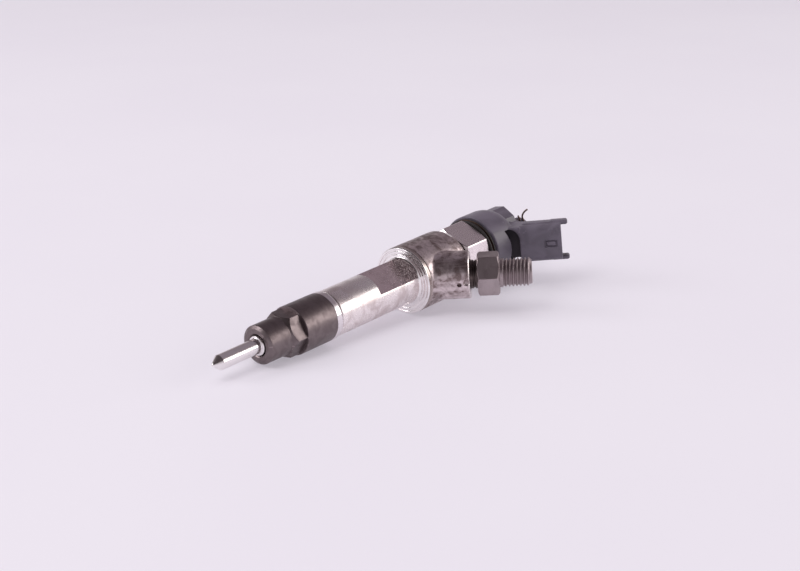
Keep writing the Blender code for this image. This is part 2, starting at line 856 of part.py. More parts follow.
def make_return_port(axis):
    """Leak-off port on the axis, its O-ring, and the wire clip in its outer groove."""
    turned(
        "return_port",
        [
            (PORT_R - 0.5, PORT_REAR),
            (PORT_R, PORT_REAR - 0.5),
            (PORT_R, PORT_REAR - 1.4),
            (CLIP_GROOVE_R, PORT_REAR - 1.4),
            (CLIP_GROOVE_R, PORT_REAR - 4.4),
            (PORT_R, PORT_REAR - 4.4),
            (PORT_R, 202.0),
            (4.7, 202.0),
            (4.7, 200.4),
            (PORT_R, 200.4),
            (PORT_R, CHAMBER_REAR - GAP),
            (7.6, CHAMBER_REAR - GAP),
            (7.6, CHAMBER_REAR - 2.5),
            (2.0, CHAMBER_REAR - 2.5),
            (2.0, PORT_REAR),
        ],
        axis,
        "black_plastic",
    )
    torus("return_port_o_ring", 5.45, 0.45, 201.2, axis, "black_rubber")
    loop_r = CLIP_GROOVE_R + GAP + CLIP_WIRE_R
    loop_start = PORT_REAR - 3.6
    loop_pitch = 1.2
    steps = 28
    loop = []
    for i in range(steps + 1):
        angle = math.radians(20.0 - 336.0 * i / steps)
        station = loop_start + loop_pitch * i / steps
        loop.append((loop_r * math.cos(angle), loop_r * math.sin(angle), station))
    low, high = loop_start - 0.1, loop_start + loop_pitch + 0.1
    short_tail = [(7.9, 0.9, low), (6.9, 1.4, low), (5.9, 2.2, low)]
    long_tail = [(5.5, 3.4, high), (6.9, 2.4, high + 0.1), (8.2, 2.5, high + 0.3)]
    long_tail += [(9.5, 3.2, high + 0.6), (10.7, 4.2, high + 0.9), (11.7, 5.5, high + 1.2)]
    wire("return_clip", short_tail + loop + long_tail, CLIP_WIRE_R, axis, "bronzed_wire")


def make_inlet(inlet):
    """High-pressure inlet fitting screwed into the boss, its seal and its edge filter."""
    fitting = turned(
        "inlet_fitting",
        [
            (INLET_THREAD_R - 1.0, INLET_END),
            (INLET_THREAD_R, INLET_END - 1.0),
            (INLET_THREAD_R, INLET_HEX_END),
            (9.6, INLET_HEX_END),
            (10.9, INLET_HEX_END - 0.8),
            (10.9, INLET_HEX_START + 0.8),
            (9.6, INLET_HEX_START),
            (BOSS_BORE_R - GAP, INLET_HEX_START),
            (BOSS_BORE_R - GAP, 20.8),
            (2.2, 20.8),
            (2.2, 45.0),
            (1.5, 46.0),
            (1.5, 53.8),
            (4.4, INLET_END),
        ],
        inlet,
        "phosphated_steel",
        32,
    )
    cut_hexagon(fitting, INLET_HEX_AF, INLET_HEX_CORNER, INLET_HEX_START - 0.5, INLET_HEX_END + 0.01, inlet)
    ring("inlet_seal_washer", 2.2, BOSS_BORE_R - GAP, BOSS_BORE_START + GAP, 20.5, inlet, "copper")
    turned(
        "edge_filter",
        [(0.0, 44.0), (1.9, 44.0), (1.9, 23.0), (0.0, 23.0)],
        inlet,
        "hardened_steel",
        COARSE,
    )


def lay_on_ground(axis):
    """Tilts the axis onto the nut and the collar, and centres the object over the world origin."""
    rise = COLLAR_R - NUT_R
    run = COLLAR_FRONT + COLLAR_EDGE - NUT_HEX_REAR
    tilt = math.asin(rise / math.hypot(rise, run))
    axis.rotation_euler = (Matrix.Rotation(-tilt, 3, "Y") @ LYING).to_euler()
    bpy.context.view_layer.update()
    graph = bpy.context.evaluated_depsgraph_get()
    corners = []
    for obj in PARTS.objects:
        if obj.type == "EMPTY":
            continue
        evaluated = obj.evaluated_get(graph)
        mesh = evaluated.to_mesh()
        corners += [evaluated.matrix_world @ vertex.co for vertex in mesh.vertices]
        evaluated.to_mesh_clear()
    low = Vector(map(min, zip(*corners)))
    high = Vector(map(max, zip(*corners)))
    axis.location = (-(low.x + high.x) / 2, -(low.y + high.y) / 2, -low.z)
    bpy.context.view_layer.update()


# Columns are the frame's X (up), Y (inlet side, towards world -Y) and Z (towards world +X).
LYING = Matrix(((0.0, 0.0, 1.0), (0.0, -1.0, 0.0), (1.0, 0.0, 0.0)))

clear_scene()
PARTS = collection("fuel_injector")
CUTTERS = collection("cutters")
injector_axis = axis_frame("injector_axis", None)
inlet_axis = axis_frame("inlet_axis", injector_axis, INLET_STATION, BRANCH_ANGLE, BRANCH_ROLL)
connector_axis = axis_frame(
    "connector_axis", injector_axis, CONNECTOR_STATION, BRANCH_ANGLE, CONNECTOR_ROLL
)

nozzle_piece, distance_piece = make_nozzle(injector_axis)
drill_plate_feed(injector_axis, distance_piece)
make_retaining_nut(injector_axis)
make_needle_spring(injector_axis)
body_piece = make_injector_body(injector_axis, inlet_axis)
make_dowels(injector_axis, nozzle_piece, distance_piece, body_piece)
make_control_valve(injector_axis)
make_armature(injector_axis)
make_solenoid(injector_axis)
make_connector(injector_axis, connector_axis)
make_return_port(injector_axis)
make_inlet(inlet_axis)
lay_on_ground(injector_axis)
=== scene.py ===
"""Looks of the fuel injector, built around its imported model.

Lengths in this file are millimetres and angles are degrees; MM turns a length into Blender's metres.
Every detailed piece is drawn in one of three local frames, whose Z is an axis of the object:
  INJECTOR   from the nozzle tip (station 0) to the return port, X up, Y towards the inlet side
  INLET      leaves the injector axis sideways, for the high-pressure inlet
  CONNECTOR  leaves it further back, for the electrical connector
An angle about an axis is measured from Y and turns towards X.
"""

import json
import math

import bmesh
import bpy
import numpy as np
from mathutils import Matrix, Vector


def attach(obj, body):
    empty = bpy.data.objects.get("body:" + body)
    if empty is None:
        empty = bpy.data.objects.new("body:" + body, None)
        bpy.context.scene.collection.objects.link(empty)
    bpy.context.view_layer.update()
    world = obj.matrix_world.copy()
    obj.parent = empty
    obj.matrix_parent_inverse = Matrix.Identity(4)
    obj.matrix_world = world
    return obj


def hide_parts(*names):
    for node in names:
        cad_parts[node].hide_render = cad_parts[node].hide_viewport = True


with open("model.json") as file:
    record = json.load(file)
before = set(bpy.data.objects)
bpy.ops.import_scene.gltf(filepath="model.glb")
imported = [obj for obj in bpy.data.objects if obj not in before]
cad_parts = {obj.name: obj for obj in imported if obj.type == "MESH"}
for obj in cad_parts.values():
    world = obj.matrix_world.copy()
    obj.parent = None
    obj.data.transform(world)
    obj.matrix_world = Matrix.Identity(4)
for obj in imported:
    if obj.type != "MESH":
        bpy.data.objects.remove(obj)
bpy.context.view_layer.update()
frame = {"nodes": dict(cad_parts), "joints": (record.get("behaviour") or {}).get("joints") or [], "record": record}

MM = 0.001
SHARP_ANGLE = 32.0

# The angle of the inlet and the connector off the injector axis, and for each its station and its roll.
BRANCH_ANGLE = 54.0
INLET_STATION, INLET_ROLL = 131.0, 2.6
CONNECTOR_STATION, CONNECTOR_ROLL = 188.0, 4.4

# Main sizes shared by several pieces.
SHAFT_R = 11.1
COLLAR_R = 16.5
COLLAR_FRONT = 124.4
COLLAR_REAR = 127.1
BODY_SHOULDER = 156.0
BODY_REAR = 164.0
BOSS_R = 11.5
BOSS_END = 28.4
FLATS = (97.0, 123.9)
FLATS_HALF = 7.5
FLATS_FOOT = 0.4
FLATS_ANGLE = 67.0
NUT_BAND = 66.8
NUT_HEX_CORNER = 57.0
INLET_HEX_CORNER = 63.0
HEX_AF = 19.0
SOLENOID_HEX_CORNER = 36.0
SOLENOID_HEX_AF = 28.8
THREAD_PITCH, THREAD_DEPTH = 1.75, 0.95
HEAD_R = 17.2
PORT_R = 5.9
FEED_ANGLE = FLATS_ANGLE - 90.0
FEED_R = 0.8
DOWEL_TURNS = (120.0, 240.0)
DOWEL_HOLE_R = 0.9
DOWEL_CIRCLE_R = 5.7
TERMINAL_OFFSET = 3.2


def injector_frame():
    """Local frame of the injector axis: the nozzle's tip, the axis of the needle's joint, and X up."""
    lift = next(joint for joint in frame["joints"] if joint["name"] == "needle_lift")
    along = Vector(lift["axis"]).normalized()
    side = Vector((0.0, -1.0, 0.0))
    up = side.cross(along)
    tip = min((vertex.co for vertex in frame["nodes"]["nozzle_body"].data.vertices), key=lambda co: co.x)
    return Matrix.Translation(tip) @ Matrix((up, side, along)).transposed().to_4x4()


def branch(station, roll):
    """Local frame of an axis that leaves the injector axis at a station."""
    turn = Matrix.Rotation(math.radians(-roll), 4, "Z") @ Matrix.Rotation(math.radians(-BRANCH_ANGLE), 4, "X")
    return INJECTOR @ Matrix.Translation((0.0, 0.0, station * MM)) @ turn


INJECTOR = injector_frame()
INLET = branch(INLET_STATION, INLET_ROLL)
CONNECTOR = branch(CONNECTOR_STATION, CONNECTOR_ROLL)


# ---------------------------------------------------------------- mesh tools


def rounded(outline, closed, steps=4):
    """Points of an outline of (radius, station) or (radius, station, corner), corners turned into arcs."""
    points = []
    count = len(outline)
    for i, point in enumerate(outline):
        here = Vector(point[:2])
        corner = point[2] if len(point) > 2 else 0.0
        if not corner or (not closed and i in (0, count - 1)):
            points.append(here)
            continue
        before = Vector(outline[i - 1][:2]) - here
        after = Vector(outline[(i + 1) % count][:2]) - here
        turn = math.pi - before.angle(after)
        reach = min(corner * math.tan(turn / 2.0), 0.45 * before.length, 0.45 * after.length)
        first, last = here + before.normalized() * reach, here + after.normalized() * reach
        for step in range(steps + 1):
            share = step / steps
            points.append(first.lerp(here, share).lerp(here.lerp(last, share), share))
    return points


def refined(points, zone, step):
    """The same outline with more points where its station is inside the zone."""
    low, high = zone
    out = []
    for a, b in zip(points, points[1:] + points[:1]):
        out.append(a)
        inside = low <= a.y <= high and low <= b.y <= high
        extra = int((b - a).length / step) if inside else 0
        out.extend(a.lerp(b, (i + 1) / (extra + 1)) for i in range(extra))
    return out


def finish_mesh(name, mesh, place):
    """Welds the mesh, turns its faces outwards, shades it and puts it in its local frame."""
    build = bmesh.new()
    build.from_mesh(mesh)
    bmesh.ops.remove_doubles(build, verts=build.verts, dist=1e-7)
    bmesh.ops.recalc_face_normals(build, faces=build.faces)
    if build.calc_volume(signed=True) < 0.0:
        bmesh.ops.reverse_faces(build, faces=build.faces)
    build.to_mesh(mesh)
    build.free()
    mesh.shade_smooth()
    mesh.set_sharp_from_angle(angle=math.radians(SHARP_ANGLE))
    obj = bpy.data.objects.new(name, mesh)
    bpy.context.scene.collection.objects.link(obj)
    obj.matrix_world = place
    return obj


def finish_build(name, build, place):
    """Turns a mesh under construction into a finished object in its local frame."""
    mesh = bpy.data.meshes.new(name)
    build.to_mesh(mesh)
    build.free()
    return finish_mesh(name, mesh, place)


def skin(build, loops):
    """Joins loops of equal length one after the other and closes both ends."""
    for a, b in zip(loops, loops[1:]):
        for i in range(len(a)):
            j = (i + 1) % len(a)
            build.faces.new((a[i], a[j], b[j], b[i]))
    build.faces.new(loops[0])
    build.faces.new(loops[-1])


def lathe(name, outline, place, segments=192, shape=None, zone=None, step=0.12, start=0.0, closed=True):
    """Turned piece. shape may change the radii, and a zone of stations gets more points for it."""
    points = rounded(outline, closed)
    if zone:
        points = refined(points, zone, step)
    radii = np.array([point.x for point in points])[:, None]
    stations = np.array([point.y for point in points])[:, None]
    angles = np.radians(start) + np.arange(segments)[None, :] * 2.0 * np.pi / segments
    radii = np.broadcast_to(radii, (len(points), segments))
    if shape:
        radii = shape(radii, angles, stations)
    grid = np.stack(
        [radii * np.sin(angles), radii * np.cos(angles), np.broadcast_to(stations, radii.shape)], axis=-1
    )
    vertices = (grid.reshape(-1, 3) * MM).tolist()
    rows = len(points) if closed else len(points) - 1
    faces = []
    for row in range(rows):
        below, above = row * segments, (row + 1) % len(points) * segments
        for i in range(segments):
            j = (i + 1) % segments
            faces.append((below + i, below + j, above + j, above + i))
    mesh = bpy.data.meshes.new(name)
    mesh.from_pydata(vertices, [], faces)
    return finish_mesh(name, mesh, place)


def soft_min(a, b, blend):
    """Smaller of the two, with the change from one to the other rounded over the blend."""
    h = np.clip(0.5 + 0.5 * (b - a) / blend, 0.0, 1.0)
    return b + (a - b) * h - blend * h * (1.0 - h)


def hexagon(across, corner, front, rear, least, blend=0.22, fade=0.12):
    """Shape for lathe that mills a hexagon between two stations, on radii over the least one."""

    def shape(radii, angles, stations):
        local = (angles - math.radians(corner)) % (math.pi / 3.0) - math.pi / 6.0
        flat = across / 2.0 / np.cos(local)
        milled = soft_min(radii, flat, blend)
        share = np.clip((stations - front) / fade, 0.0, 1.0) * np.clip((rear - stations) / fade, 0.0, 1.0)
        milled = radii + (milled - radii) * share
        return np.where(radii > least, milled, radii)

    return shape


def thread(pitch, depth, first, last, fade, least):
    """Shape for lathe that cuts a V thread, fading out at both ends."""

    def shape(radii, angles, stations):
        phase = (stations / pitch - angles / (2.0 * np.pi)) % 1.0
        groove = np.clip(1.28 * (1.0 - np.abs(2.0 * phase - 1.0)) - 0.12, 0.0, 1.0)
        fade_in = np.clip((stations - first) / fade, 0.0, 1.0)
        fade_out = np.clip((last - stations) / 0.35, 0.0, 1.0)
        return np.where(radii > least, radii - depth * groove * fade_in * fade_out, radii)

    return shape


def around(radius, angle, station):
    """Point at a radius, an angle about the local Z and a station along it, in millimetres."""
    turn = math.radians(angle)
    return Vector((radius * math.sin(turn), radius * math.cos(turn), station))


def rod(name, start, end, radius, place, segments=24):
    """Straight round bar, used as a cutter."""
    start, end = Vector(start) * MM, Vector(end) * MM
    turn = (end - start).to_track_quat("Z", "Y").to_matrix().to_4x4()
    build = bmesh.new()
    bmesh.ops.create_cone(
        build,
        cap_ends=True,
        segments=segments,
        radius1=radius * MM,
        radius2=radius * MM,
        depth=(end - start).length,
        matrix=Matrix.Translation((start + end) / 2.0) @ turn,
    )
    return finish_build(name, build, place)


def box(name, low, high, place, bevel=0.0, segments=3):
    """Block between two corners, with every edge rounded where it has a bevel."""
    low, high = Vector(low) * MM, Vector(high) * MM
    build = bmesh.new()
    size = Matrix.Diagonal((*(high - low), 1.0))
    bmesh.ops.create_cube(build, size=1.0, matrix=Matrix.Translation((low + high) / 2.0) @ size)
    if bevel:
        bmesh.ops.bevel(build, geom=build.edges, offset=bevel * MM, segments=segments, profile=0.5,
                        affect="EDGES")
    return finish_build(name, build, place)


def prism(name, outline, low, high, place, axis=2, edge=0.0):
    """Flat outline pushed along Y or Z of the frame, its two rims rounded where it has an edge."""
    order = {1: (0, 2, 1), 2: (0, 1, 2)}[axis]
    levels = [(low, edge), (low + edge * 0.3, edge * 0.3), (low + edge, 0.0)] if edge else [(low, 0.0)]
    levels += [(low + high - level, inset) for level, inset in reversed(levels)]
    centre = sum((Vector(point) for point in outline), Vector((0.0, 0.0))) / len(outline)
    build = bmesh.new()
    loops = []
    for level, inset in levels:
        loop = []
        for point in outline:
            offset = Vector(point) - centre
            flat = centre + offset * (1.0 - inset / max(offset.length, 1e-6))
            row = (flat.x, flat.y, level)
            loop.append(build.verts.new(Vector([row[order.index(k)] for k in range(3)]) * MM))
        loops.append(loop)
    skin(build, loops)
    return finish_build(name, build, place)


def apply_modifiers(obj):
    """Replaces the object's mesh by its evaluated one."""
    bpy.context.view_layer.update()
    evaluated = obj.evaluated_get(bpy.context.evaluated_depsgraph_get())
    mesh = bpy.data.meshes.new_from_object(evaluated)
    obj.modifiers.clear()
    obj.data = mesh
    return obj


def cut(obj, *tools, operation="DIFFERENCE"):
    """Cuts the tools from the object, or unites them with it, and removes them."""
    for tool in tools:
        modifier = obj.modifiers.new(tool.name, "BOOLEAN")
        modifier.operation = operation
        modifier.solver = "EXACT"
        modifier.object = tool
    apply_modifiers(obj)
    for tool in tools:
        bpy.data.objects.remove(tool, do_unlink=True)
    obj.data.shade_smooth()
    obj.data.set_sharp_from_angle(angle=math.radians(SHARP_ANGLE))
    return obj


def painted(obj, *materials, choose=None):
    """Gives the object its materials; choose(centre, normal) in millimetres picks one for each face."""
    obj.data.materials.clear()
    for material in materials:
        obj.data.materials.append(material)
    if choose:
        for face in obj.data.polygons:
            face.material_index = choose(face.center / MM, face.normal)
    return obj


def part(obj, slot, *nodes, body="housing"):
    """Makes the object a piece that rides on a body and stands for CAD nodes, with its place in its mesh."""
    obj.data.transform(obj.matrix_world)
    obj.matrix_world = Matrix.Identity(4)
    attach(obj, body)
    if nodes:
        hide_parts(*nodes)
    return obj


# ---------------------------------------------------------------- materials


class Graph:
    """Node tree of one material, with its patterns in millimetres along a local frame."""

    def __init__(self, name, local=INJECTOR):
        self.local = local
        self.material = bpy.data.materials.new(name)
        self.material.use_nodes = True
        self.nodes = self.material.node_tree.nodes
        self.links = self.material.node_tree.links
        self.shader = self.nodes["Principled BSDF"]
        self.place = self.nodes.new("ShaderNodeTexCoord").outputs["Object"]

    def feed(self, socket, value):
        if isinstance(value, bpy.types.NodeSocket):
            self.links.new(value, socket)
        else:
            socket.default_value = value

    def node(self, kind, settings, inputs, output=0):
        made = self.nodes.new(kind)
        for key, value in settings.items():
            setattr(made, key, value)
        for key, value in inputs.items():
            self.feed(made.inputs[key], value)
        return made.outputs[output]

    def mapped(self, size, stretch=(1.0, 1.0, 1.0)):
        """Coordinates in the local frame, in units of this many millimetres."""
        inputs = {
            "Vector": self.place,
            "Location": self.local.translation,
            "Rotation": self.local.to_euler(),
            "Scale": tuple(size * MM * each for each in stretch),
        }
        return self.node("ShaderNodeMapping", {"vector_type": "TEXTURE"}, inputs)

    def noise(self, size, detail=3.0, stretch=(1.0, 1.0, 1.0), distortion=0.0):
        """Fractal noise whose blotches are about this many millimetres across, longer where stretched."""
        inputs = {"Vector": self.mapped(size, stretch), "Scale": 1.0, "Detail": detail,
                  "Distortion": distortion}
        return self.node("ShaderNodeTexNoise", {}, inputs)

    def between(self, value, low, high, out_low=0.0, out_high=1.0):
        inputs = {"Value": value, "From Min": low, "From Max": high, "To Min": out_low, "To Max": out_high}
        return self.node("ShaderNodeMapRange", {"interpolation_type": "SMOOTHSTEP"}, inputs)

    def maths(self, operation, a, b):
        return self.node("ShaderNodeMath", {"operation": operation}, {0: a, 1: b})

    def mix(self, share, a, b):
        a = (*a, 1.0) if isinstance(a, tuple) and len(a) == 3 else a
        b = (*b, 1.0) if isinstance(b, tuple) and len(b) == 3 else b
        return self.node("ShaderNodeMix", {"data_type": "RGBA"}, {0: share, 6: a, 7: b}, output=2)

    def edges(self, low=0.515, high=0.56):
        """Share of wear: 1 on sharp outer edges, 0 on flats and in hollows."""
        return self.between(self.node("ShaderNodeNewGeometry", {}, {}, output="Pointiness"), low, high)

    def finish(self, colour, roughness, height, metallic, bump, distance):
        self.feed(self.shader.inputs["Base Color"], colour)
        self.feed(self.shader.inputs["Roughness"], roughness)
        self.shader.inputs["Metallic"].default_value = metallic
        inputs = {"Height": height, "Strength": bump, "Distance": distance * MM}
        self.feed(self.shader.inputs["Normal"], self.node("ShaderNodeBump", {}, inputs))
        return self.material


def tint(colour, factor):
    return tuple(min(channel * factor, 1.0) for channel in colour)


def metal(name, colour, stain, roughness, lines=(1.0, 1.0, 1.0), line_size=0.35, mottle=6.0, depth=0.35,
          wear=0.5, bump=0.25, local=INJECTOR):
    """Machined or coated metal: tool lines, stains of a second colour, and edges worn bright."""
    graph = Graph(name, local)
    grain = graph.noise(line_size, detail=2.0, stretch=lines)
    blotches = graph.noise(mottle, detail=5.0, distortion=0.6)
    fine = graph.noise(0.5, detail=3.0)
    share = graph.maths("MULTIPLY", graph.between(blotches, 0.38, 0.68), depth)
    base = graph.mix(share, colour, stain)
    streak = graph.between(grain, 0.30, 0.72, 0.0, 0.55)
    base = graph.mix(streak, base, graph.mix(0.5, tint(colour, 1.22), base))
    worn = graph.maths("MULTIPLY", graph.edges(), wear)
    base = graph.mix(worn, base, tint(colour, 1.9) if max(colour) < 0.4 else tint(colour, 1.25))
    rough = graph.between(graph.maths("ADD", blotches, fine), 0.75, 1.25, roughness - 0.05, roughness + 0.09)
    height = graph.maths("ADD", grain, graph.maths("MULTIPLY", fine, 0.35))
    return graph.finish(base, rough, height, 1.0, bump, 0.02)


def forged(name, colour, stain, roughness):
    """Etched forging skin: coarse mottling in two sizes, pits and a rough grain."""
    graph = Graph(name)
    large = graph.noise(8.0, detail=5.0, distortion=1.0)
    small = graph.noise(2.6, detail=5.0, distortion=0.8)
    grain = graph.noise(0.28, detail=3.0)
    pits = graph.node("ShaderNodeTexVoronoi", {"feature": "F1"}, {"Vector": graph.mapped(1.1), "Scale": 1.0})
    share = graph.maths("ADD", graph.between(large, 0.38, 0.66, 0.0, 0.75),
                        graph.between(small, 0.40, 0.70, 0.0, 0.65))
    base = graph.mix(share, colour, stain)
    base = graph.mix(graph.between(grain, 0.35, 0.75, 0.0, 0.5), base,
                     graph.mix(0.5, tint(colour, 1.25), base))
    base = graph.mix(graph.maths("MULTIPLY", graph.edges(0.52, 0.57), 0.35), base, tint(colour, 1.2))
    rough = graph.between(small, 0.3, 0.7, roughness - 0.07, roughness + 0.12)
    height = graph.maths("ADD", graph.maths("MULTIPLY", small, 1.6), graph.maths("MULTIPLY", grain, 0.45))
    height = graph.maths("ADD", height, graph.between(pits, 0.0, 0.25, 0.0, 0.5))
    return graph.finish(base, rough, height, 1.0, 0.35, 0.06)


def plastic(name, colour, roughness, grain=0.35, shine=0.5):
    """Glass-filled moulding: fine grain, faint flow marks and paler rubbed edges."""
    graph = Graph(name)
    speckle = graph.noise(grain, detail=3.0)
    flow = graph.noise(7.0, detail=4.0, stretch=(1.0, 1.0, 2.5), distortion=0.8)
    base = graph.mix(graph.between(flow, 0.35, 0.7), colour, tint(colour, 1.35))
    base = graph.mix(graph.maths("MULTIPLY", graph.edges(0.52, 0.60), 0.35), base, tint(colour, 2.4))
    rough = graph.between(flow, 0.3, 0.7, roughness - 0.05, roughness + 0.08)
    graph.shader.inputs["Specular IOR Level"].default_value = shine
    return graph.finish(base, rough, speckle, 0.0, 0.18, 0.03)


def wound(name, colour, dark, size):
    """Enamelled wire laid side by side: fine ridges around the axis."""
    graph = Graph(name)
    lines = graph.noise(size, detail=1.0, stretch=(0.35, 6.0, 6.0))
    base = graph.mix(graph.between(lines, 0.35, 0.65), dark, colour)
    return graph.finish(base, graph.between(lines, 0.3, 0.7, 0.28, 0.45), lines, 1.0, 0.6, 0.1)


TURNED = (12.0, 12.0, 0.6)
MILLED = (0.6, 0.6, 12.0)

BRIGHT = metal("ground_steel", (0.86, 0.82, 0.82), (0.66, 0.60, 0.60), 0.18, TURNED, 0.30, depth=0.3,
               bump=0.15)
DARK_NUT = metal("phosphated_steel", (0.20, 0.165, 0.168), (0.135, 0.107, 0.110), 0.38, TURNED, 0.40,
                 mottle=4.0, depth=0.6, wear=0.55)
NUT_RIM = metal("polished_rim", (0.84, 0.79, 0.81), (0.60, 0.54, 0.56), 0.16, TURNED, 0.25, bump=0.12)
SHAFT = metal("nickel_shaft", (0.86, 0.79, 0.785), (0.50, 0.40, 0.39), 0.28, TURNED, 0.35, mottle=6.0,
              depth=0.65, bump=0.15)
FLAT = metal("milled_flat", (0.88, 0.74, 0.755), (0.56, 0.45, 0.46), 0.22, MILLED, 0.5, mottle=5.0, depth=0.6,
             bump=0.12)
COLLAR = metal("polished_collar", (0.93, 0.90, 0.89), (0.72, 0.67, 0.66), 0.15, TURNED, 0.25, depth=0.3,
               bump=0.12)
BAND = metal("turned_band", (0.48, 0.41, 0.39), (0.24, 0.19, 0.18), 0.26, TURNED, 0.3, mottle=3.0, bump=0.2)
FORGING = forged("etched_forging", (0.70, 0.61, 0.62), (0.21, 0.155, 0.15), 0.38)
SOLENOID = metal("solenoid_nut_steel", (0.86, 0.78, 0.79), (0.62, 0.54, 0.56), 0.28, MILLED, 0.6, mottle=9.0,
                 depth=0.4, wear=0.7, bump=0.12)
INLET_DARK = metal("inlet_steel", (0.41, 0.35, 0.36), (0.27, 0.22, 0.23), 0.44, TURNED, 0.5, wear=0.75,
                   bump=0.2, local=INLET)
NECK = metal("inlet_neck", (0.095, 0.075, 0.072), (0.05, 0.04, 0.04), 0.36, TURNED, 0.4, local=INLET)
HARD = metal("hardened_steel", (0.50, 0.49, 0.50), (0.36, 0.33, 0.33), 0.22, TURNED, 0.3, depth=0.25,
             bump=0.12)
SPRING = metal("spring_steel", (0.30, 0.29, 0.30), (0.20, 0.17, 0.16), 0.34, mottle=1.5, bump=0.15)
IRON = metal("soft_iron", (0.33, 0.32, 0.32), (0.22, 0.19, 0.17), 0.46, TURNED, 0.5, mottle=4.0, depth=0.5)
COPPER = wound("copper", (0.72, 0.36, 0.20), (0.42, 0.16, 0.08), 0.3)
TIN = metal("tinned_terminal", (0.66, 0.65, 0.62), (0.50, 0.48, 0.44), 0.30, MILLED, 0.3, mottle=2.0,
            depth=0.3, local=CONNECTOR)
WIRE = metal("bronzed_wire", (0.13, 0.088, 0.075), (0.08, 0.05, 0.045), 0.40, mottle=1.2, depth=0.6, wear=0.3)
BLACK = plastic("black_plastic", (0.092, 0.079, 0.104), 0.34)
# Near-black plastic for the recess between head and shroud: painted shade on the same black moulding.
RECESS_PAINTED_SHADE = plastic("recess_painted_shade", (0.028, 0.023, 0.030), 0.50, shine=0.3)
NATURAL = plastic("natural_plastic", (0.60, 0.55, 0.45), 0.48)
RUBBER = plastic("black_rubber", (0.022, 0.020, 0.021), 0.62, grain=0.2)
RING_DARK = plastic("dark_ring", (0.016, 0.013, 0.013), 0.5)
RING_BROWN = metal("ring_brown", (0.085, 0.055, 0.045), (0.05, 0.03, 0.025), 0.42, TURNED, 0.3, wear=0.2)
# Pale steel for the top of the forging's rear rim only: a painted highlight.
RIM_PAINTED_HIGHLIGHT = metal("rim_painted_highlight", (0.92, 0.87, 0.87), (0.70, 0.64, 0.64), 0.20, TURNED, 0.25, depth=0.3, bump=0.12)
# Near-black steel for the body behind its shoulder: painted shade in the gap under the solenoid nut.
GROOVE_PAINTED_SHADE = metal("groove_shade", (0.055, 0.042, 0.042), (0.03, 0.022, 0.022), 0.5, TURNED, 0.3, wear=0.0)


# ---------------------------------------------------------------- pieces


def dowel_holes(front, rear):
    """Cutters for the two dowel holes, each turned from the feed about the axis."""
    holes = []
    for turn in DOWEL_TURNS:
        angle = FEED_ANGLE + turn
        start, end = around(DOWEL_CIRCLE_R, angle, front), around(DOWEL_CIRCLE_R, angle, rear)
        holes.append(rod(f"dowel_hole_{turn:.0f}", start, end, DOWEL_HOLE_R, INJECTOR))
    return holes


def make_nozzle():
    outline = [
        (0.0, 1.7), (0.55, 2.0, 0.2), (0.55, 3.2, 0.2), (2.3, 6.2, 0.3), (2.3, 33.5, 0.2), (3.4, 34.6, 0.3),
        (3.4, 37.0, 0.3), (2.3, 38.1, 0.2), (2.3, 50.0), (7.15, 50.0, 0.2), (7.15, 32.95, 0.3),
        (4.65, 31.95, 0.3), (4.65, 26.8, 0.25), (4.35, 26.45, 0.2), (3.5, 26.3, 0.7), (3.5, 4.3, 0.35),
        (0.8, 0.62, 0.5), (0.0, 0.05),
    ]
    nozzle = lathe("nozzle_body", outline, INJECTOR, 128, closed=False)
    holes = []
    for i in range(6):
        angle = 30.0 + 60.0 * i
        holes.append(rod(f"spray_hole_{i}", around(0.15, angle, 2.5), around(2.4, angle, 1.15), 0.11,
                         INJECTOR, 12))
    holes.append(rod("feed", around(5.8, FEED_ANGLE, 50.5), around(2.9, FEED_ANGLE, 35.8), FEED_R, INJECTOR))
    holes += dowel_holes(48.2, 50.6)
    cut(nozzle, *holes)
    painted(nozzle, BRIGHT)
    return part(nozzle, "ground_steel", "nozzle_body")


def make_nozzle_nut():
    outline = [
        (11.15, 70.4, 0.35), (11.5, 69.6, 0.3), (11.5, 67.0, 0.2), (11.34, NUT_BAND, 0.1), (11.34, 66.5, 0.1),
        (11.5, 66.3, 0.2), (11.5, 47.8, 0.4), (11.0, 47.3, 0.15), (11.0, 42.0, 0.3), (9.0, 39.7, 0.25),
        (9.0, 27.9, 0.3), (7.4, 26.85, 0.8), (5.6, 26.8, 0.25), (5.0, 27.3, 0.2), (5.0, 31.6), (7.5, 32.6),
        (7.5, 52.0), (8.95, 53.0), (8.95, 70.4),
    ]
    shape = hexagon(HEX_AF, NUT_HEX_CORNER, 39.72, 47.6, 8.99)
    nut = lathe("nozzle_retaining_nut", outline, INJECTOR, 288, shape, (39.5, 48.0), 0.1,
                start=NUT_HEX_CORNER)
    painted(nut, DARK_NUT, NUT_RIM, choose=lambda centre, normal: int(centre.z > NUT_BAND))
    return part(nut, "phosphated_steel", "nozzle_retaining_nut")


